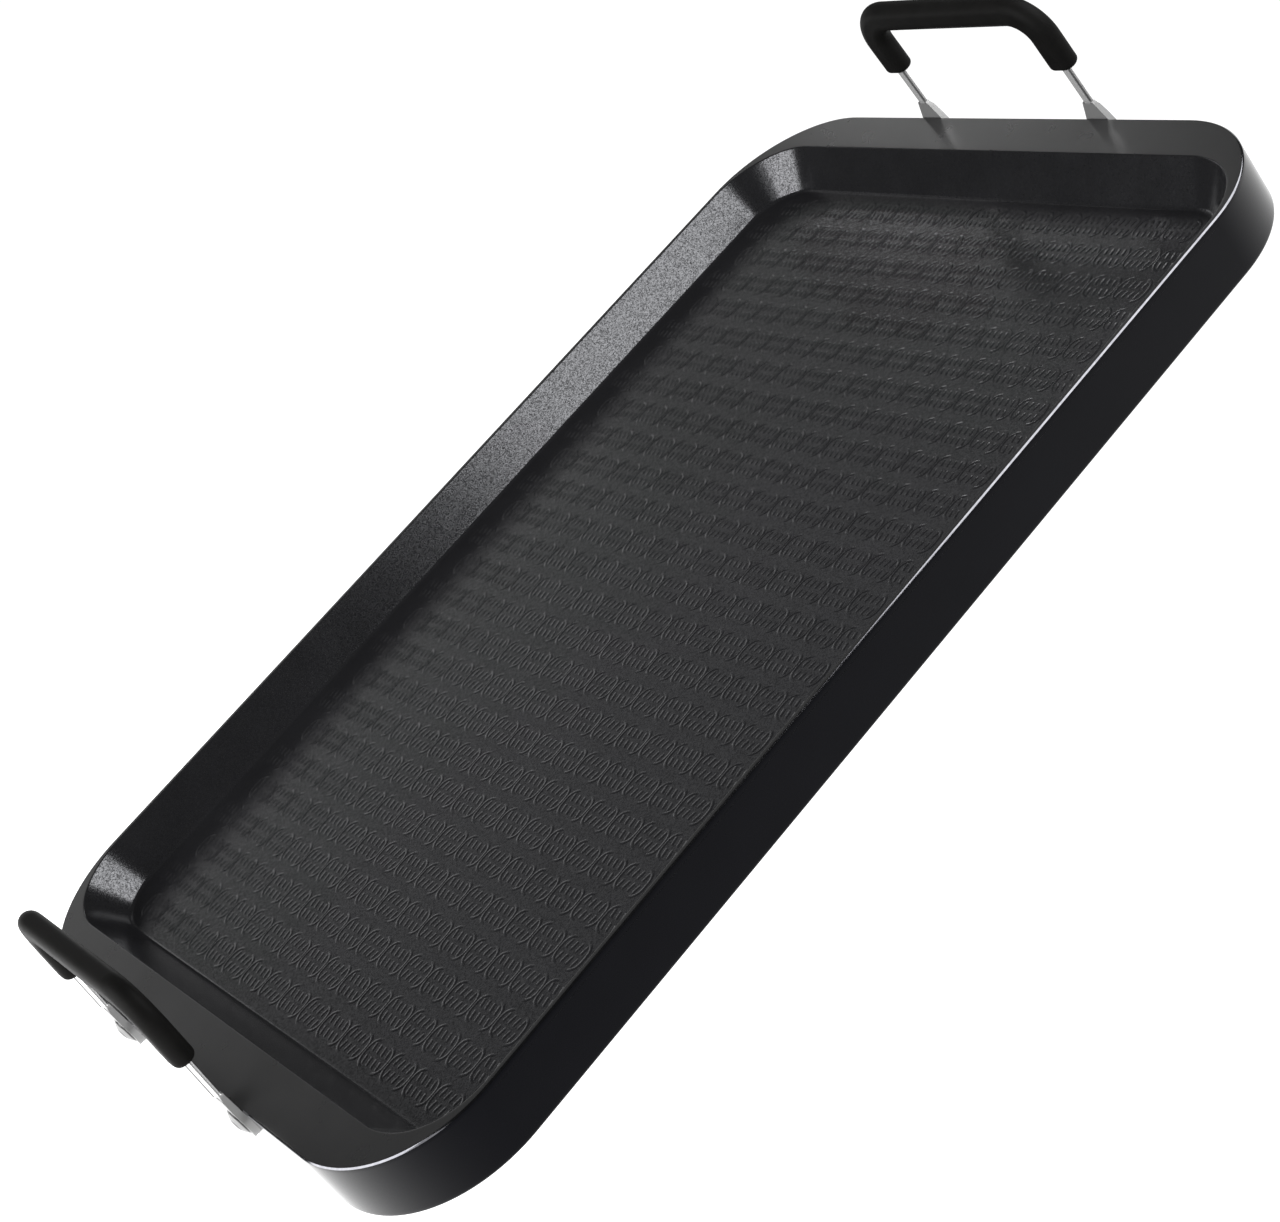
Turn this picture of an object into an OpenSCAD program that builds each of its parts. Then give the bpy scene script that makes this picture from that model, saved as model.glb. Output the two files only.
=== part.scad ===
// Stovetop griddle pan: a cast tray with a coated cooking well, and a riveted loop handle at each end.
// All sizes are millimetres. X runs along the tray and Z is up.
// The origin is the centre of the base, on the surface that the pan stands on.

/* [Tray] */
// Length of the tray across the rim
tray_length = 457; // [440:1:480]
// Width of the tray across the rim
tray_width = 280; // [260:1:300]
// Height of the tray from the base to the rim
tray_height = 24; // [22:0.5:28]
// Radius of the four outer corners at the rim
tray_corner = 48; // [44:1:56]
// How far the skirt leans out from the rim to the base
skirt_flare = 0.7; // [0.4:0.1:1.2]
// Thickness of the skirt
skirt_wall = 2.6; // [2.2:0.1:3]
// Radius along the bottom edge of the skirt
base_round = 1; // [0.6:0.1:1.1]
// Width of the bare chamfer along the outer rim
rim_chamfer = 0.5; // [0.3:0.1:1.1]

/* [Cooking well] */
// Width of the ledge at each end, from the rim to the well
end_ledge = 18.5; // [16:0.5:26]
// Width of the narrow rim along each long side
side_rim = 2.2; // [1.8:0.1:4]
// Depth of the well from the rim to the floor
well_depth = 15.4; // [12:0.2:16]
// How far the well's wall leans in from the rim to the floor
well_run = 9.7; // [8:0.1:12]
// Radius of the well's corners at the rim
well_corner = 31; // [28:1:36]
// Fillet between the floor and the wall
floor_fillet = 2; // [1:0.5:5]
// Radius along the top edge of the well
well_lip = 0.7; // [0.5:0.1:1.4]
// Thickness of the floor
floor_thick = 4.4; // [3.6:0.2:5]
// Thickness of the well's wall
well_wall = 3; // [2.4:0.1:3.4]
// Thickness of the ledge over the hollow underside
ledge_thick = 2.6; // [2.2:0.1:2.8]

/* [Handles] */
// Distance between the axes of a handle's two legs
leg_spacing = 91.6; // [80:0.2:110]
// Height of the handle's bar above the base, along its centre
bar_height = 75; // [66:0.5:84]
// Radius of the handle's two bends, along the centre of the rod
bend_radius = 12.5; // [10:0.5:16]
// Thickness of the flat oval rod
rod_thick = 2.8; // [2.4:0.1:3.2]
// Width of the flat oval rod
rod_width = 5; // [4.4:0.1:6]
// How far each handle leans in over the tray, in degrees
handle_lean = 4.6; // [3:0.1:7]

/* [Feet of the handles] */
// Radius of the flattened round foot on the end wall
foot_radius = 7; // [6:0.1:7.4]
// Thickness of the flattened foot
foot_thick = 2.4; // [2:0.1:2.8]
// Length of the foot's neck above the rivet
neck_length = 13; // [11:0.5:15]
// How much thinner the foot is at the top of its neck
neck_thin = 0.4; // [0:0.1:0.6]
// How far the rod stands out from the foot at the top of the neck
rod_step = 0.9; // [0.6:0.1:1.2]
// Depth of the nick pressed across the top of the neck
nick_depth = 0.5; // [0.3:0.1:0.7]
// Height of the rivets above the base
rivet_height = 18.5; // [17.5:0.1:18.6]

/* [Rivets] */
// Radius of the domed rivet head
rivet_head = 5.4; // [4.6:0.1:5.8]
// Height of the domed rivet head
rivet_dome = 2; // [1.4:0.1:2.4]
// Radius of the rivet's shank
rivet_shank = 2; // [1.6:0.1:2.2]
// Radius of the closed tail behind the wall
rivet_tail = 2.6; // [2.4:0.1:2.6]

/* [Grips] */
// Thickness of the grip's oval section
grip_thick = 8; // [7:0.1:10]
// Width of the grip's oval section, in the plane of the handle
grip_width = 11.8; // [11:0.1:13]
// Height of the grip's lower ends above the base
grip_end = 48.5; // [45:0.5:52]
// Radius along the edge of the grip's ends
grip_round = 2; // [1:0.1:2.5]

/* [Hidden] */
$fn = 96;
cast_black = [0.13, 0.13, 0.15];
steel = [0.78, 0.78, 0.76];
grip_black = [0.07, 0.07, 0.07];

skirt_draft = atan2(skirt_flare, tray_height);
floor_z = tray_height - well_depth;
floor_under = floor_z - floor_thick;
ledge_under = tray_height - ledge_thick;

// Corner centres of the skirt and of the well, and the slope of the well's wall
skirt_cx = tray_length / 2 - tray_corner;
skirt_cy = tray_width / 2 - tray_corner;
well_cx = tray_length / 2 - end_ledge - well_corner;
well_cy = tray_width / 2 - side_rim - well_corner;
floor_corner = well_corner - well_run;
well_slope = atan2(well_depth, well_run);
shell_gap = well_wall / sin(well_slope);

// Skirt's radius from its corner centre, at height z
function skirt_r(z) = tray_corner + skirt_flare * (tray_height - z) / tray_height;

// Radius of the well's outer side from its corner centre, at height z
function shell_r(z) = floor_corner + shell_gap + (z - floor_z) / tan(well_slope);

// Where the skirt's outer face is at the rivets' height, and its thickness square to the face
rivet_x = tray_length / 2 + skirt_flare * (tray_height - rivet_height) / tray_height;
skirt_square = skirt_wall * cos(skirt_draft);

// Thickness of the foot at the top of its neck, and how far from the wall the rod's axis leaves it
neck_thick = foot_thick - neck_thin;
rod_out = neck_thick + rod_step - rod_thick / 2;
rod_tilt = handle_lean - skirt_draft;
leg_y = leg_spacing / 2;

// Length along a leaning leg from the top of its neck to height z, to the nearest hundredth
function rise(z) = round(100 * (z - rivet_height - neck_length) / cos(handle_lean)) / 100;
bar_rise = rise(bar_height);
grip_rise = rise(grip_end);

// A profile drawn from a corner centre outwards, carried round a rounded rectangle.
// The 2D child has its radius on x and its height on y, and reaches in to x = 0.
module carry_round(cx, cy, low, high) {
    for (quarter = [0 : 3]) {
        sx = (quarter == 0 || quarter == 3) ? 1 : -1;
        sy = quarter < 2 ? 1 : -1;
        translate([sx * cx, sy * cy, 0]) rotate([0, 0, 90 * quarter]) rotate_extrude(angle = 90) children();
    }
    for (side = [0, 180]) {
        rotate([0, 0, side]) translate([cx, 0, 0]) rotate([90, 0, 0])
            linear_extrude(height = 2 * cy, center = true) children();
        rotate([0, 0, side + 90]) translate([cy, 0, 0]) rotate([90, 0, 0])
            linear_extrude(height = 2 * cx, center = true) children();
    }
    translate([-cx, -cy, low]) cube([2 * cx, 2 * cy, high - low]);
}

// Outer form: skirt with its draft, rounded bottom edge and chamfered rim
module skirt_profile() {
    reach = base_round / tan((90 - skirt_draft) / 2);
    foot = skirt_r(0);
    shoulder = tray_height - rim_chamfer;
    polygon([[0, 0], [foot - reach, 0],
             [foot - reach * sin(skirt_draft), reach * cos(skirt_draft)],
             [skirt_r(shoulder), shoulder], [tray_corner - rim_chamfer, tray_height], [0, tray_height]]);
    translate([foot - reach, base_round]) circle(r = base_round);
}

// Cooking well: sloped wall, filleted floor and rounded top edge
module well_profile() {
    half = (180 - well_slope) / 2;
    reach = floor_fillet / tan(half);
    lip = well_lip / tan(half);
    up = [cos(well_slope), sin(well_slope)];
    rim = [well_corner, tray_height];
    polygon([[0, floor_z], [floor_corner - reach, floor_z],
             [floor_corner, floor_z] + reach * up, rim, rim + [0, 1], [0, tray_height + 1]]);
    translate([floor_corner - reach, floor_z + floor_fillet]) circle(r = floor_fillet);
    difference() {
        polygon([rim - lip * up, rim + [lip, 0], rim + [lip, 1], rim + [-lip, 1]]);
        translate(rim + [lip, -well_lip]) circle(r = well_lip);
    }
}

// Inner side of the skirt, up to the underside of the ledge
module underside_profile() {
    polygon([[0, -1], [skirt_r(-1) - skirt_wall, -1],
             [skirt_r(ledge_under) - skirt_wall, ledge_under], [0, ledge_under]]);
}

// Outer side of the well, which stands inside the hollow underside
module shell_profile() {
    polygon([[0, floor_under], [shell_r(floor_under), floor_under],
             [shell_r(tray_height), tray_height], [0, tray_height]]);
}

// Hollow between the skirt and the well, open at the base
module underside() {
    difference() {
        carry_round(skirt_cx, skirt_cy, -1, ledge_under) underside_profile();
        carry_round(well_cx, well_cy, floor_under, tray_height) shell_profile();
    }
}

// Frame on an end wall: x leaves the wall squarely, z climbs the wall from the rivets' height
module on_wall(y = 0) {
    translate([rivet_x, y, rivet_height]) rotate([0, -skirt_draft, 0]) children();
}

// Frame of the rod: z runs up its legs from the top of the neck
module on_rod() {
    on_wall() translate([rod_out, 0, neck_length]) rotate([0, -rod_tilt, 0]) children();
}

module near_end() {
    rotate([0, 0, 180]) children();
}

module rivet_hole(y) {
    on_wall(y) rotate([0, 90, 0]) cylinder(r = rivet_shank, h = 4 * skirt_wall, center = true);
}

module griddle_body() {
    color(cast_black) difference() {
        carry_round(skirt_cx, skirt_cy, 0, tray_height) skirt_profile();
        carry_round(well_cx, well_cy, floor_z, tray_height + 1) well_profile();
        underside();
        for (y = [-leg_y, leg_y]) {
            rivet_hole(y);
            near_end() rivet_hole(y);
        }
    }
}

// Flat oval section with round edges, its long side on y
module oval(thick, width) {
    circle(d = thick);
    translate([0, (width - thick) / 2]) circle(d = thick);
    translate([0, (thick - width) / 2]) circle(d = thick);
    square([thick, width - thick], center = true);
}

// U-shaped sweep of an oval section: two legs from height low, two bends and the bar
module loop(thick, width, low) {
    straight = bar_rise - bend_radius;
    for (side = [0, 1]) mirror([0, side, 0]) {
        translate([0, leg_y, low]) linear_extrude(height = straight - low) oval(thick, width);
        translate([0, leg_y - bend_radius, straight]) rotate([90, 0, 0]) rotate([0, 90, 0])
            rotate_extrude(angle = 90) translate([bend_radius, 0]) rotate(90) oval(thick, width);
    }
    translate([0, 0, bar_rise]) rotate([90, 0, 0])
        linear_extrude(height = leg_spacing - 2 * bend_radius, center = true) oval(thick, width);
}

// Outline of a foot: a round disc whose neck narrows to the rod's width, with the rivet's hole
module foot_outline() {
    tip = [rod_width / 2, neck_length];
    turn = atan2(tip.y, tip.x) - acos(foot_radius / norm(tip));
    touch = foot_radius * [cos(turn), sin(turn)];
    difference() {
        union() {
            circle(r = foot_radius);
            polygon([[-tip.x, tip.y], [-touch.x, touch.y], [touch.x, touch.y], tip]);
        }
        circle(r = rivet_shank);
    }
}

// Flattened foot on the wall, which thins above the rivet's head to the top of its neck
module foot(y) {
    side = [[0, -foot_radius - 1], [foot_thick, -foot_radius - 1], [foot_thick, foot_radius],
            [neck_thick, neck_length + 1], [0, neck_length + 1]];
    on_wall(y) intersection() {
        rotate([90, 0, 90]) linear_extrude(height = foot_thick) foot_outline();
        rotate([90, 0, 0]) linear_extrude(height = 4 * foot_radius, center = true) polygon(side);
    }
}

// Cut across the top of a neck, where the flattened foot meets the rod that stands out from it
module nick(y) {
    proud = neck_thick + rod_step + 1;
    on_wall(y) rotate([90, 0, 0]) linear_extrude(height = 2 * rod_width, center = true)
        polygon([[neck_thick - nick_depth, neck_length], [proud, neck_length + 1.6],
                 [proud, neck_length - 2], [neck_thick, neck_length - 2]]);
}

module rod() {
    overlap = 1.2;
    color(steel) difference() {
        union() {
            on_rod() loop(rod_thick, rod_width, -overlap);
            for (y = [-leg_y, leg_y]) foot(y);
        }
        for (y = [-leg_y, leg_y]) nick(y);
    }
}

module far_rod() {
    rod();
}

module near_rod() {
    near_end() rod();
}

// Profile of a grip's end, from its axis outwards, with a rounded lower edge
module end_profile() {
    edge = grip_thick / 2 - grip_round;
    square([edge, grip_round]);
    intersection() {
        translate([edge, grip_round]) circle(r = grip_round);
        translate([edge, 0]) square(grip_round);
    }
}

// Lower end of a grip's leg, rounded all round its oval section
module grip_tip() {
    shift = (grip_width - grip_thick) / 2;
    for (y = [-shift, shift]) translate([0, y, 0]) rotate_extrude() end_profile();
    for (side = [0, 1]) mirror([side, 0, 0]) rotate([90, 0, 0])
        linear_extrude(height = 2 * shift, center = true) end_profile();
}

// Moulded sleeve over the bar, the bends and the upper legs
module grip() {
    color(grip_black) on_rod() difference() {
        union() {
            loop(grip_thick, grip_width, grip_rise + grip_round);
            for (y = [-leg_y, leg_y]) translate([0, y, grip_rise]) grip_tip();
        }
        loop(rod_thick, rod_width, grip_rise - 1);
    }
}

module far_grip() {
    grip();
}

module near_grip() {
    near_end() grip();
}

// Rivet: domed head on the foot, shank through foot and wall, closed tail behind the wall
module rivet(y) {
    dome_r = (rivet_head * rivet_head + rivet_dome * rivet_dome) / (2 * rivet_dome);
    tail = 1.2;
    color(steel) on_wall(y) rotate([0, 90, 0]) {
        translate([0, 0, foot_thick]) rotate_extrude() intersection() {
            translate([0, rivet_dome - dome_r]) circle(r = dome_r);
            square([rivet_head, rivet_dome]);
        }
        translate([0, 0, -skirt_square]) cylinder(r = rivet_shank, h = skirt_square + foot_thick);
        translate([0, 0, -skirt_square - tail]) cylinder(r = rivet_tail, h = tail);
    }
}

module far_left_rivet() {
    rivet(leg_y);
}

module far_right_rivet() {
    rivet(-leg_y);
}

module near_left_rivet() {
    near_end() rivet(-leg_y);
}

module near_right_rivet() {
    near_end() rivet(leg_y);
}

griddle_body();
far_rod();
near_rod();
far_grip();
near_grip();
far_left_rivet();
far_right_rivet();
near_left_rivet();
near_right_rivet();
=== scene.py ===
"""Looks of the stovetop griddle pan: tray, relief, handles, paper, lights and camera."""
import math

import bpy
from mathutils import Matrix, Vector


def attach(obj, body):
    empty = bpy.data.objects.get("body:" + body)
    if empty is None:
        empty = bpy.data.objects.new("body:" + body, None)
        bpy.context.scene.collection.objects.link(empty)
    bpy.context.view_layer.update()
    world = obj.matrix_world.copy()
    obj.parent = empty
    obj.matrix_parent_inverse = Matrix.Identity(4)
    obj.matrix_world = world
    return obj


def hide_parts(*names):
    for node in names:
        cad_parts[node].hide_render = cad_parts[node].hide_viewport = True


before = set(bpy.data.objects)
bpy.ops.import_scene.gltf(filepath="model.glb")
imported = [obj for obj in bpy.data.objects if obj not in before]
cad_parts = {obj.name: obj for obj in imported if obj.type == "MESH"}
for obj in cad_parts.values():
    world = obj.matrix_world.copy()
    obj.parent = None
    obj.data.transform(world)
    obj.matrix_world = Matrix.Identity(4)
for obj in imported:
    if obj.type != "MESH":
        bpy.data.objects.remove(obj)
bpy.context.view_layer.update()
MM = 0.001

# Tray, in millimetres, as in the CAD
TRAY_LENGTH, TRAY_WIDTH, TRAY_HEIGHT, TRAY_CORNER = 457.0, 280.0, 24.0, 48.0
SKIRT_FLARE, SKIRT_WALL, BASE_ROUND, RIM_CHAMFER = 0.7, 2.6, 1.0, 0.5
END_LEDGE, SIDE_RIM, WELL_DEPTH, WELL_RUN, WELL_CORNER = 18.5, 2.2, 15.4, 9.7, 31.0
FLOOR_FILLET, WELL_LIP, FLOOR_THICK, WELL_WALL, LEDGE_THICK = 2.0, 0.7, 4.4, 3.0, 2.6
FLOOR_Z = TRAY_HEIGHT - WELL_DEPTH
FLOOR_UNDER = FLOOR_Z - FLOOR_THICK
LEDGE_UNDER = TRAY_HEIGHT - LEDGE_THICK
SKIRT_C = (TRAY_LENGTH / 2 - TRAY_CORNER, TRAY_WIDTH / 2 - TRAY_CORNER)
WELL_C = (TRAY_LENGTH / 2 - END_LEDGE - WELL_CORNER, TRAY_WIDTH / 2 - SIDE_RIM - WELL_CORNER)
FLOOR_CORNER = WELL_CORNER - WELL_RUN
SLOPE = math.atan2(WELL_DEPTH, WELL_RUN)
SHELL_GAP = WELL_WALL / math.sin(SLOPE)

# How finely the tray is drawn, in millimetres and in faces
ARC_STEPS, SIDE_STEPS = 28, 12    # faces round each corner and along each straight side
SOFT_EDGE, SOFT_STEPS = 0.08, 2   # small round on the turned edges of the rim
TOE_ROUND, TOE_STEPS = 2.0, 5     # round below the floor's edge, on the hollow side
INNER_ROUND, INNER_STEPS = 0.8, 4   # rounds where the hollow meets the ledge above it
FOOT_ROUND, FOOT_STEPS = 0.4, 3   # inner edge of the skirt's foot
BASE_STEPS, LIP_STEPS, FLOOR_STEPS = 6, 6, 8
LIP_SPLIT = 3                     # rows of the lip that keep the ledge's material
SKIRT_ROWS = 2.0, 12.0, 22.0      # heights of the rows that hold the skirt straight
FLAT_MARGIN = 0.5                 # width of the flat rows next to the ledge's two edges
WALL_ROWS = 0.04, 0.5, 0.96       # places up the well's wall, as shares of its straight part
FLOOR_ROWS = 0.6, 6               # how far inside the fillet the floor's first rows lie
AWAY = 5                          # distance of a point that only gives a direction


# ---------------------------------------------------------------- mesh helpers
def new_object(name, verts, faces):
    """Smooth-shaded mesh object from points in millimetres."""
    mesh = bpy.data.meshes.new(name)
    mesh.from_pydata([tuple(c * MM for c in v) for v in verts], [], faces)
    mesh.validate()
    mesh.polygons.foreach_set("use_smooth", [True] * len(mesh.polygons))
    obj = bpy.data.objects.new(name, mesh)
    bpy.context.scene.collection.objects.link(obj)
    return obj


def ring(centre, radius, z):
    """Points of a rounded rectangle at height z, from its corner centre and corner radius."""
    corners = []
    for quarter, (sx, sy) in enumerate(((1, 1), (-1, 1), (-1, -1), (1, -1))):
        arc = []
        for k in range(ARC_STEPS + 1):
            a = math.radians(90 * (quarter + k / ARC_STEPS))
            x = sx * centre[0] + radius * math.cos(a)
            y = sy * centre[1] + radius * math.sin(a)
            arc.append((x, y, z))
        corners.append(arc)
    points = []
    for quarter, arc in enumerate(corners):
        points += arc
        start, end = Vector(arc[-1]), Vector(corners[(quarter + 1) % 4][0])
        points += [tuple(start.lerp(end, k / SIDE_STEPS)) for k in range(1, SIDE_STEPS)]
    return points


def fillet(before, corner, after, radius, steps):
    """Points of a round of the given radius at the corner of a profile."""
    b, c, a = Vector(before), Vector(corner), Vector(after)
    u, v = (b - c).normalized(), (a - c).normalized()
    half = u.angle(v) / 2
    centre = c + (u + v).normalized() * (radius / math.sin(half))
    first, last = c + u * (radius / math.tan(half)), c + v * (radius / math.tan(half))
    out = []
    for k in range(steps + 1):
        d = (first - centre).normalized().slerp((last - centre).normalized(), k / steps)
        out.append(tuple(centre + d * radius))
    return out


# ---------------------------------------------------------------- tray
def skirt_r(z):
    """Corner radius of the skirt's outer face at height z."""
    return TRAY_CORNER + SKIRT_FLARE * (TRAY_HEIGHT - z) / TRAY_HEIGHT


def well_r(z):
    """Corner radius of the well's wall at height z."""
    return FLOOR_CORNER + (z - FLOOR_Z) / math.tan(SLOPE)


def tray_profile():
    """Rows of (corner centre, radius, z, material), from under the floor, down the skirt's inner
    face, up over the rim and down the well to its floor."""
    rows = []

    def add(centre, points, slot):
        rows.extend((centre, r, z, slot) for r, z in points)

    inner_top = (skirt_r(LEDGE_UNDER) - SKIRT_WALL, LEDGE_UNDER)
    inner_foot = (skirt_r(0) - SKIRT_WALL, 0)
    foot = (skirt_r(0), 0)
    shoulder = (skirt_r(TRAY_HEIGHT - RIM_CHAMFER), TRAY_HEIGHT - RIM_CHAMFER)
    rim = (TRAY_CORNER - RIM_CHAMFER, TRAY_HEIGHT)
    lip = (WELL_CORNER, TRAY_HEIGHT)
    toe = (FLOOR_CORNER, FLOOR_Z)
    up_wall = (FLOOR_CORNER + 1, FLOOR_Z + math.tan(SLOPE))
    shell_top = (well_r(LEDGE_UNDER) + SHELL_GAP, LEDGE_UNDER)
    shell_toe = (well_r(FLOOR_UNDER) + SHELL_GAP, FLOOR_UNDER)
    past_shell, past_lip = (shell_top[0] + AWAY, LEDGE_UNDER), (lip[0] + AWAY, TRAY_HEIGHT)

    add(WELL_C, fillet((0, FLOOR_UNDER), shell_toe, shell_top, TOE_ROUND, TOE_STEPS), "under")
    add(WELL_C, fillet(shell_toe, shell_top, past_shell, INNER_ROUND, INNER_STEPS), "under")
    add(SKIRT_C, fillet((0, LEDGE_UNDER), inner_top, inner_foot, INNER_ROUND, INNER_STEPS), "under")
    add(SKIRT_C, fillet(inner_top, inner_foot, foot, FOOT_ROUND, FOOT_STEPS), "under")
    add(SKIRT_C, fillet(inner_foot, foot, shoulder, BASE_ROUND, BASE_STEPS), "skirt")
    add(SKIRT_C, [(skirt_r(z), z) for z in SKIRT_ROWS], "skirt")
    add(SKIRT_C, fillet(foot, shoulder, rim, SOFT_EDGE, SOFT_STEPS), "skirt")
    add(SKIRT_C, fillet(shoulder, rim, (0, TRAY_HEIGHT), SOFT_EDGE, SOFT_STEPS), "rim")
    add(SKIRT_C, [(rim[0] - FLAT_MARGIN, TRAY_HEIGHT)], "ledge")
    lip_round = fillet(past_lip, lip, up_wall, WELL_LIP, LIP_STEPS)
    add(WELL_C, [(lip_round[0][0] + FLAT_MARGIN, TRAY_HEIGHT)] + lip_round[:LIP_SPLIT], "ledge")
    add(WELL_C, lip_round[LIP_SPLIT:], "coat")
    low = fillet(lip, toe, (0, FLOOR_Z), FLOOR_FILLET, FLOOR_STEPS)
    top, bottom = Vector(lip_round[-1]), Vector(low[0])
    add(WELL_C, [tuple(top.lerp(bottom, t)) for t in WALL_ROWS], "coat")
    add(WELL_C, low + [(low[-1][0] - inside, FLOOR_Z) for inside in FLOOR_ROWS], "coat")
    return rows


def build_tray(materials):
    """The tray as one closed skin of rings, with one material for each kind of row."""
    rows = tray_profile()
    verts, faces, slots = [], [], []
    count = len(ring(*rows[0][:3]))
    for centre, r, z, _ in rows:
        verts += ring(centre, r, z)
    order = list(materials)
    for i in range(len(rows) - 1):
        slot = order.index(rows[i + 1][3])
        a, b = i * count, (i + 1) * count
        for k in range(count):
            n = (k + 1) % count
            faces.append((a + k, a + n, b + n, b + k))
            slots.append(slot)
    last = (len(rows) - 1) * count
    faces.append(tuple(range(last, last + count)))
    slots.append(order.index("coat"))
    faces.append(tuple(reversed(range(count))))
    slots.append(order.index("under"))
    tray = new_object("tray", verts, faces)
    for name in order:
        tray.data.materials.append(materials[name])
    tray.data.polygons.foreach_set("material_index", slots)
    return tray


# ---------------------------------------------------------------- relief on the floor
PITCH_X, PITCH_Y = 14.6, 14.5             # distance between motifs, in millimetres as all below
COLUMNS_EACH_WAY, ROWS_EACH_WAY = 13, 9   # motifs on either side of the middle one
STROKE, RISE, SUNK = 1.6, 0.15, 0.015     # width and height of a ridge, and its depth in the floor
FRAME = 5.7, 6.8                          # half length and half width of a motif's frame
FRAME_POWER = 3.0                         # squareness of the frame: 2 gives an ellipse
FRAME_GAP, FRAME_STEPS = 24.0, 9          # half of each gap in degrees, and faces along each side
BARS = -4.2, -1.4, 1.4, 4.2               # places of the short bars across a frame
BAR_FROM, BAR_TO, BAR_LEAN = 0.55, 4.3, 0.8   # reach of a bar along the frame, and how it leans
BAR_PLACES = 0.0, 0.2, 0.8, 1.0           # points along a bar, whose outer parts run down
RIDGE = (-1, 0.0), (-0.5, 0.5), (0, 1.0), (0.5, 0.5), (1, 0.0)   # section: side and height shares
RELIEF_REACH = 196.5, 122.5               # half length and half width that the relief fills
RELIEF_CORNER, CORNER_SLACK = 22.0, 3     # its corners' radius, and how far motifs may pass them
MOTIF_MARGIN = 5.6                        # room that a motif needs around its centre


def rounded_box(angle):
    """Point of a motif's frame at an angle, as a pair."""
    c, s = math.cos(angle), math.sin(angle)
    r = (abs(c) ** FRAME_POWER + abs(s) ** FRAME_POWER) ** (-1 / FRAME_POWER)
    return FRAME[0] * r * c, FRAME[1] * r * s


def motif(mirrored):
    """Strokes of one motif: a rounded frame split in two, with two columns of leaning bars."""
    strokes = []
    for start in (FRAME_GAP, 180 + FRAME_GAP):
        sweep = 180 - 2 * FRAME_GAP
        angles = [start + sweep * k / FRAME_STEPS for k in range(FRAME_STEPS + 1)]
        strokes.append([rounded_box(math.radians(a)) for a in angles])
    for side in (-1, 1):
        lean = BAR_LEAN * side * (-1 if mirrored else 1)
        for y in BARS:
            strokes.append([(side * (BAR_FROM + (BAR_TO - BAR_FROM) * t), y + lean * (t - 0.5))
                            for t in BAR_PLACES])
    return strokes


def add_stroke(verts, faces, path, at):
    """Low rounded ridge along a path, whose ends run down into the floor."""
    base = len(verts)
    n = len(path)
    for i, p in enumerate(path):
        q0, q1 = path[max(i - 1, 0)], path[min(i + 1, n - 1)]
        t = Vector((q1[0] - q0[0], q1[1] - q0[1])).normalized()
        height = 0.0 if i in (0, n - 1) else RISE + SUNK
        for side, share in RIDGE:
            x = at[0] + p[0] - t.y * STROKE / 2 * side
            y = at[1] + p[1] + t.x * STROKE / 2 * side
            verts.append((x, y, FLOOR_Z - SUNK + height * share))
    rows = len(RIDGE)
    for i in range(n - 1):
        for k in range(rows - 1):
            a = base + rows * i + k
            faces.append((a, a + rows, a + rows + 1, a + 1))


def inside_relief(x, y):
    """Whether a motif at this place stays on the flat of the floor."""
    hx, hy = RELIEF_REACH[0] - MOTIF_MARGIN, RELIEF_REACH[1] - MOTIF_MARGIN
    if abs(x) > hx or abs(y) > hy:
        return False
    cx, cy = hx - RELIEF_CORNER + MOTIF_MARGIN, hy - RELIEF_CORNER + MOTIF_MARGIN
    if abs(x) < cx or abs(y) < cy:
        return True
    return math.hypot(abs(x) - cx, abs(y) - cy) < RELIEF_CORNER - MOTIF_MARGIN + CORNER_SLACK


def build_relief(material):
    """All motifs as one mesh, in columns that are staggered by half a pitch."""
    verts, faces = [], []
    plain, mirrored = motif(False), motif(True)
    for i in range(-COLUMNS_EACH_WAY, COLUMNS_EACH_WAY + 1):
        shift = 0.5 if i % 2 else 0.0
        for j in range(-ROWS_EACH_WAY, ROWS_EACH_WAY + 1):
            at = (i * PITCH_X, (j + shift) * PITCH_Y)
            if not inside_relief(*at):
                continue
            for path in (mirrored if (i + j) % 2 else plain):
                add_stroke(verts, faces, path, at)
    relief = new_object("floor_relief", verts, faces)
    relief.data.materials.append(material)
    return relief


# ---------------------------------------------------------------- materials
def grey(value):
    """A neutral colour."""
    return value, value, value


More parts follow.
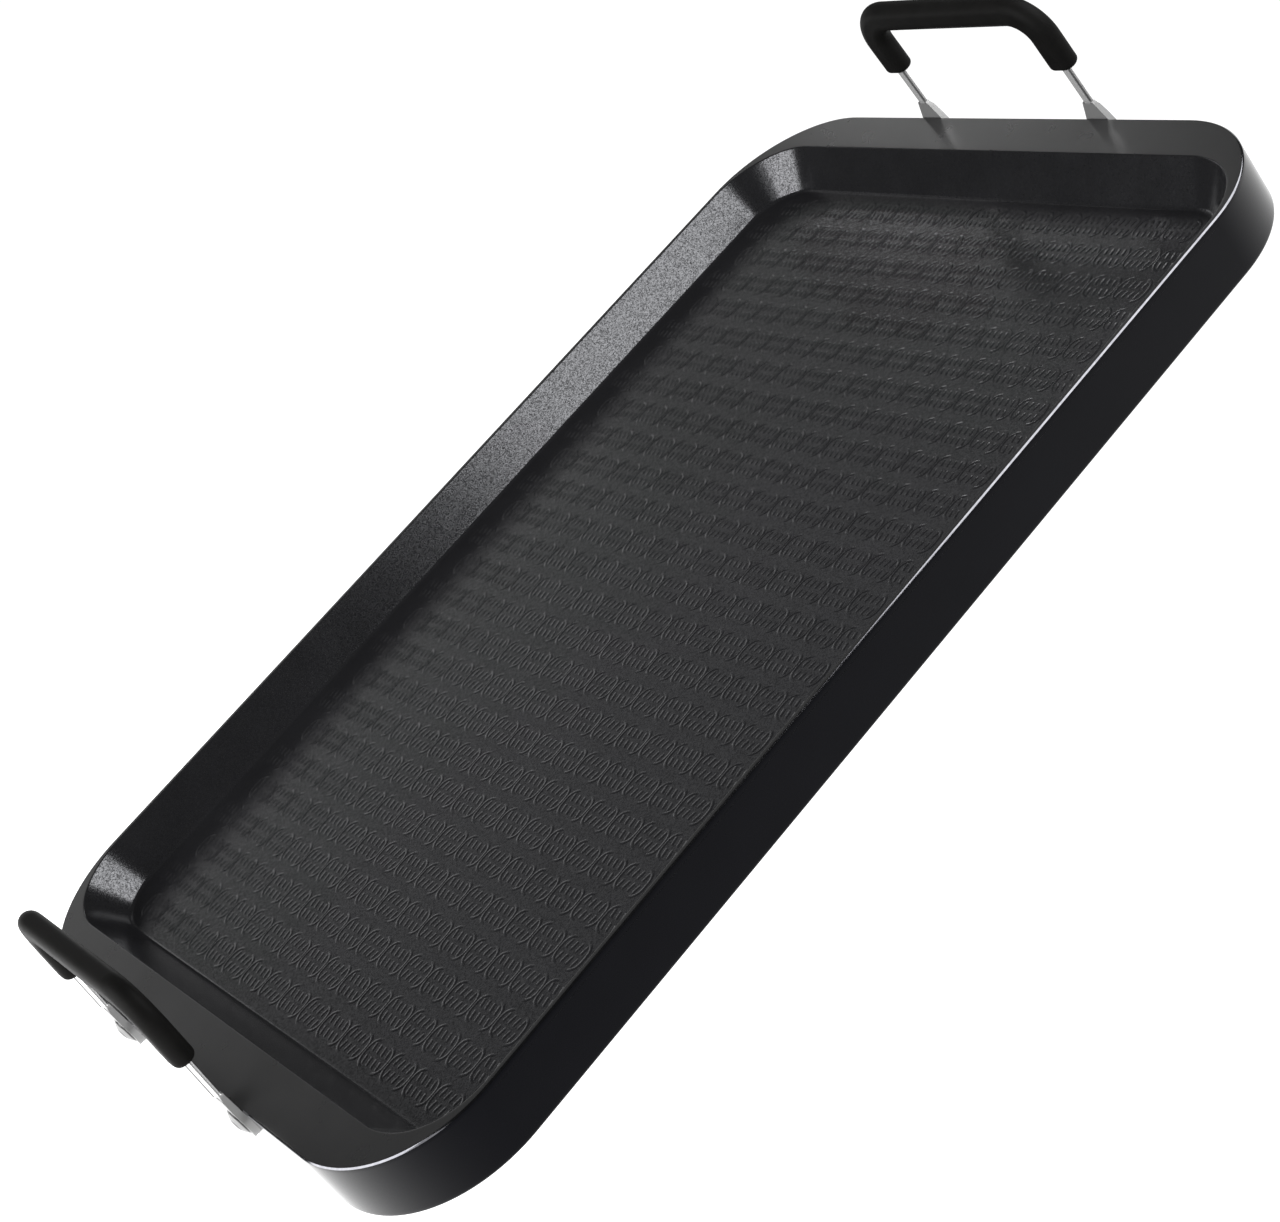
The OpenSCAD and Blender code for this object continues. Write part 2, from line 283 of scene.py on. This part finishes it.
class Nodes:
    """Short way to build a material's node tree. Scales are in grains per metre."""

    def __init__(self, name):
        self.material = bpy.data.materials.new(name)
        self.material.use_nodes = True
        self.tree = self.material.node_tree
        self.shader = self.tree.nodes["Principled BSDF"]
        self.place = self.add("ShaderNodeTexCoord").outputs["Object"]

    def add(self, kind, **values):
        node = self.tree.nodes.new(kind)
        for key, value in values.items():
            setattr(node, key, value)
        return node

    def link(self, source, target):
        self.tree.links.new(source, target)

    def feed(self, **sources):
        """Link outputs to the shader's inputs."""
        for key, source in sources.items():
            self.link(source, self.shader.inputs[key.replace("_", " ")])

    def set(self, **values):
        """Set the shader's own inputs."""
        for key, value in values.items():
            self.shader.inputs[key.replace("_", " ")].default_value = value

    def noise(self, scale, detail, rough=0.5):
        node = self.add("ShaderNodeTexNoise")
        node.inputs["Scale"].default_value = scale
        node.inputs["Detail"].default_value = detail
        node.inputs["Roughness"].default_value = rough
        self.link(self.place, node.inputs["Vector"])
        return node.outputs["Fac"]

    def cells(self, scale):
        """A random value for each grain."""
        node, parts = self.add("ShaderNodeTexVoronoi"), self.add("ShaderNodeSeparateColor")
        node.inputs["Scale"].default_value = scale
        self.link(self.place, node.inputs["Vector"])
        self.link(node.outputs["Color"], parts.inputs["Color"])
        return parts.outputs["Red"]

    def ramp(self, source, stops):
        """Colour from a list of (position, colour)."""
        node = self.add("ShaderNodeValToRGB")
        elements = node.color_ramp.elements
        while len(elements) < len(stops):
            elements.new(0.5)
        for element, (position, colour) in zip(elements, stops):
            element.position = position
            element.color = (*colour, 1.0)
        self.link(source, node.inputs["Fac"])
        return node.outputs["Color"]

    def blotches(self, source, dark, light):
        """Soft patches of two colours that lie close together."""
        return self.ramp(source, ((0.3, dark), (0.7, light)))

    def map(self, source, **limits):
        """Linear map of a value, clamped at its ends."""
        node = self.add("ShaderNodeMapRange")
        for key, value in limits.items():
            node.inputs[key.replace("_", " ")].default_value = value
        self.link(source, node.inputs["Value"])
        return node.outputs["Result"]

    def span(self, source, low, high):
        """Value from low to high as the source goes from 0 to 1."""
        return self.map(source, To_Min=low, To_Max=high)

    def between(self, source, low, high):
        """Share of the way from low to high, from 0 to 1."""
        return self.map(source, From_Min=low, From_Max=high)

    def folded(self):
        """Distance from the middle plane that runs along the tray, and height."""
        parts = self.add("ShaderNodeSeparateXYZ")
        side = self.add("ShaderNodeMath", operation="ABSOLUTE")
        self.link(self.place, parts.inputs["Vector"])
        self.link(parts.outputs["Y"], side.inputs[0])
        return side.outputs["Value"], parts.outputs["Z"]

    def bump(self, height, strength, distance):
        node = self.add("ShaderNodeBump")
        node.inputs["Strength"].default_value = strength
        node.inputs["Distance"].default_value = distance
        self.link(height, node.inputs["Height"])
        return node.outputs["Normal"]


def coat_material():
    """Sprayed nonstick coat: dark grey, smooth, with flakes that sparkle in a light."""
    m = Nodes("coat_inside")
    flakes, cloud = m.cells(scale=2600), m.noise(scale=60, detail=3.0)
    m.feed(Base_Color=m.blotches(cloud, (0.0090, 0.0090, 0.0098), (0.0108, 0.0108, 0.0118)),
           Roughness=m.span(cloud, 0.15, 0.19),
           Specular_IOR_Level=m.span(flakes, 0.12, 0.92),
           Normal=m.bump(m.noise(scale=2800, detail=1.0), strength=1.0, distance=0.00002))
    m.set(Specular_Tint=(0.95, 0.96, 1.0, 1.0))
    return m.material


def ledge_material():
    """The same coat on the flat top of the rim, satin and without the sparkle."""
    m = Nodes("coat_ledge")
    cloud = m.noise(scale=90, detail=3.0)
    m.feed(Base_Color=m.blotches(cloud, (0.0100, 0.0100, 0.0103), (0.0118, 0.0118, 0.0121)),
           Roughness=m.span(cloud, 0.26, 0.30),
           Normal=m.bump(m.noise(scale=1500, detail=2.0), strength=0.15, distance=0.0001))
    m.set(Specular_IOR_Level=0.42)
    return m.material


def skirt_material():
    """Smooth outer lacquer, black with a blue cast."""
    m = Nodes("lacquer_outside")
    cloud = m.noise(scale=45, detail=3.0)
    m.feed(Base_Color=m.blotches(cloud, (0.0011, 0.0012, 0.0019), (0.0017, 0.0018, 0.0027)),
           Roughness=m.span(cloud, 0.12, 0.18),
           Normal=m.bump(m.noise(scale=900, detail=2.0), strength=0.06, distance=0.0001))
    m.set(Specular_Tint=(0.03, 0.03, 0.04, 1.0))
    return m.material


def rim_material():
    """Bare turned aluminium of the chamfer."""
    m = Nodes("bare_rim")
    streak = m.noise(scale=700, detail=2.0)
    m.feed(Base_Color=m.blotches(streak, (0.10, 0.10, 0.11), (0.13, 0.13, 0.14)),
           Roughness=m.span(streak, 0.10, 0.16),
           Normal=m.bump(streak, strength=0.05, distance=0.0001))
    m.set(Metallic=1.0)
    return m.material


def under_material():
    """Sprayed lacquer in the hollow underside, rougher than outside."""
    m = Nodes("lacquer_under")
    grain = m.noise(scale=700, detail=3.0, rough=0.6)
    m.feed(Base_Color=m.blotches(grain, (0.010, 0.010, 0.011), (0.020, 0.020, 0.021)),
           Roughness=m.span(grain, 0.5, 0.65),
           Normal=m.bump(grain, strength=0.3, distance=0.0003))
    m.set(Specular_IOR_Level=0.35)
    return m.material


# Handles, in metres, as in the CAD
FOOT_TOP, FOOT_BLEND = 0.0315, 0.001   # height below which the rods are satin, and its soft edge
LEG_Y, ROD_HALF = 0.0458, 0.0025       # place of a leg across the tray, half the width of its rod
RIVET_Z, RIVET_HEAD = 0.0185, 0.0054   # height of a rivet's axis, and the radius of its head
# The last colour paints dark reflection lines onto the polished legs.
FOOT_STEEL, LEG_STEEL, LEG_PAINTED_REFLECTION = grey(0.33), grey(0.95), grey(0.12)
# The ring colour paints the shade in the dimple of a rivet's head and at its edge.
HEAD_STEEL, HEAD_PAINTED_SHADE = grey(0.27), grey(0.04)


def rod_material():
    """Polished steel rod with two dark painted reflection lines on each leg, satin on its flattened
    feet.
    """
    m = Nodes("rod_steel")
    side, height = m.folded()
    above = m.between(height, FOOT_TOP - FOOT_BLEND, FOOT_TOP + FOOT_BLEND)
    # Two dark bands across each leg's width are painted reflections, not marks in the steel.
    painted_reflection_lines = m.ramp(m.between(side, LEG_Y - ROD_HALF, LEG_Y + ROD_HALF),
                   ((0.05, LEG_STEEL), (0.10, LEG_PAINTED_REFLECTION), (0.20, LEG_PAINTED_REFLECTION), (0.26, LEG_STEEL),
                    (0.74, LEG_STEEL), (0.80, LEG_PAINTED_REFLECTION), (0.90, LEG_PAINTED_REFLECTION), (0.95, LEG_STEEL)))
    blend = m.add("ShaderNodeMix", data_type="RGBA")
    blend.inputs["A"].default_value = (*FOOT_STEEL, 1.0)
    m.link(above, blend.inputs["Factor"])
    m.link(painted_reflection_lines, blend.inputs["B"])
    m.feed(Base_Color=blend.outputs["Result"], Roughness=m.span(above, 0.44, 0.12))
    m.set(Metallic=0.68)
    return m.material


def rivet_material():
    """Polished steel rivet, with a dark painted ring for the shade in the dimple of its head, and a
    painted dark edge for the shade round the head.
    """
    m = Nodes("rivet_steel")
    side, height = m.folded()
    place = m.add("ShaderNodeCombineXYZ")
    reach = m.add("ShaderNodeVectorMath", operation="DISTANCE")
    m.link(side, place.inputs["Y"])
    m.link(height, place.inputs["Z"])
    m.link(place.outputs["Vector"], reach.inputs[0])
    reach.inputs[1].default_value = (0.0, LEG_Y, RIVET_Z)
    # Painted shade: a dark ring where the head's dimple would be shaded, and a dark outline at its
    # edge.
    painted_shade_rings = m.ramp(m.between(reach.outputs["Value"], 0.0, RIVET_HEAD),
                   ((0.34, HEAD_STEEL), (0.40, HEAD_PAINTED_SHADE), (0.48, HEAD_PAINTED_SHADE), (0.56, HEAD_STEEL),
                    (0.84, HEAD_STEEL), (0.91, HEAD_PAINTED_SHADE)))
    polish = m.noise(scale=380, detail=3.0, rough=0.55)
    m.feed(Base_Color=painted_shade_rings, Roughness=m.span(polish, 0.12, 0.2))
    m.set(Metallic=1.0)
    return m.material


def grip_material():
    """Satin black moulded plastic."""
    m = Nodes("grip_plastic")
    cloud = m.noise(scale=160, detail=3.0)
    m.feed(Base_Color=m.blotches(cloud, (0.0052, 0.0051, 0.0049), (0.0068, 0.0066, 0.0064)),
           Roughness=m.span(cloud, 0.44, 0.54),
           Normal=m.bump(m.noise(scale=2400, detail=2.0), strength=0.15, distance=0.0001))
    m.set(Specular_IOR_Level=0.03)
    return m.material


def dress(node, material):
    """Give a node of the CAD its material."""
    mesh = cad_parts[node].data
    mesh.materials.clear()
    mesh.materials.append(material)


# ---------------------------------------------------------------- studio
PAPER_SIZE, PAPER_Z = 20000.0, -0.3   # half side of the paper and its height, in millimetres
PAPER_GLOW = 2.2, 1.0                 # light it gives off, at the near left and at the far right
GLOW_SPAN = -0.5, 0.3                 # the same places along the tray, in metres

LIGHTS = (   # name, centre, point it faces, width, height, radiance
    ("key_right", (0.51, -0.277, 0.5), (0.0, 0.165, 0.5), 0.70, 0.62, 6.2),
    ("side_left", (-0.80, 0.138, 0.52), (0.1, 0.138, 0.4), 0.935, 0.85, 5.0),
    ("side_left_wide", (-0.84, -0.13, 0.55), (0.1, -0.13, 0.45), 1.55, 1.0, 1.6),
    ("back", (0.505, 2.06, 1.22), (0.0, 0.0, 0.0), 2.65, 0.95, 0.30),
    ("back_strip", (0.10, 2.2, 0.80), (0.0, 0.0, 0.0), 1.5, 0.26, 0.95),
    ("back_corner", (1.40, 1.78, 0.80), (0.2, 0.0, 0.0), 0.4, 0.2, 3.5),
    ("back_low", (0.13, 2.2, 0.42), (0.0, 0.0, 0.0), 1.1, 0.42, 0.85),
)
AIR_COLOUR, AIR_STRENGTH = (1, 1, 1, 1), 0.05

LENS, SENSOR_WIDTH, VIEW_END = 69.494, 36.0, 50.0
CAMERA_PLACE = (-0.25319, -0.71048, 0.44317)
CAMERA_TURN = (53.0701, 32.7571, -41.1132)   # degrees about x, y and z


def pale_floor():
    """White paper with a glow of its own, so that the shadows on it stay faint."""
    corners = [(sx * PAPER_SIZE, sy * PAPER_SIZE, PAPER_Z)
               for sx, sy in ((-1, -1), (1, -1), (1, 1), (-1, 1))]
    floor = new_object("studio_floor", corners, [(0, 1, 2, 3)])
    m = Nodes("floor_paper")
    parts = m.add("ShaderNodeSeparateXYZ")
    m.link(m.place, parts.inputs["Vector"])
    glow = m.map(parts.outputs["X"], From_Min=GLOW_SPAN[0], From_Max=GLOW_SPAN[1],
                 To_Min=PAPER_GLOW[0], To_Max=PAPER_GLOW[1])
    m.feed(Emission_Strength=glow,
           Base_Color=m.blotches(m.noise(scale=3, detail=2.0), grey(0.07), grey(0.09)))
    m.set(Roughness=0.9, Specular_IOR_Level=0.1, Emission_Color=(1, 1, 1, 1))
    floor.data.materials.append(m.material)


def softbox(name, centre, target, width, height, radiance):
    """Area light of an even radiance."""
    centre = Vector(centre)
    data = bpy.data.lights.new(name, "AREA")
    data.shape = "RECTANGLE"
    data.size, data.size_y = width, height
    data.energy = radiance * math.pi * width * height
    light = bpy.data.objects.new(name, data)
    light.location = centre
    light.rotation_euler = (Vector(target) - centre).to_track_quat("-Z", "Y").to_euler()
    bpy.context.scene.collection.objects.link(light)


def studio():
    for light in LIGHTS:
        softbox(*light)
    world = bpy.data.worlds.new("studio_air")
    world.use_nodes = True
    background = world.node_tree.nodes["Background"]
    background.inputs["Color"].default_value = AIR_COLOUR
    background.inputs["Strength"].default_value = AIR_STRENGTH
    bpy.context.scene.world = world
    bpy.context.scene.view_settings.view_transform = "Standard"


def camera():
    data = bpy.data.cameras.new("camera")
    data.lens, data.sensor_width, data.clip_end = LENS, SENSOR_WIDTH, VIEW_END
    cam = bpy.data.objects.new("camera", data)
    cam.location = CAMERA_PLACE
    cam.rotation_euler = [math.radians(a) for a in CAMERA_TURN]
    bpy.context.scene.collection.objects.link(cam)
    bpy.context.scene.camera = cam


# ---------------------------------------------------------------- assembly
coat = coat_material()
tray = build_tray({"under": under_material(), "skirt": skirt_material(), "rim": rim_material(),
                   "coat": coat, "ledge": ledge_material()})
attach(tray, "root")
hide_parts("griddle_body")
relief = build_relief(coat)
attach(relief, "root")

rod_steel, rivet_steel, grip_plastic = rod_material(), rivet_material(), grip_material()
for end in ("far", "near"):
    dress(end + "_rod", rod_steel)
    dress(end + "_grip", grip_plastic)
    for side in ("left", "right"):
        dress(f"{end}_{side}_rivet", rivet_steel)

pale_floor()
studio()
camera()
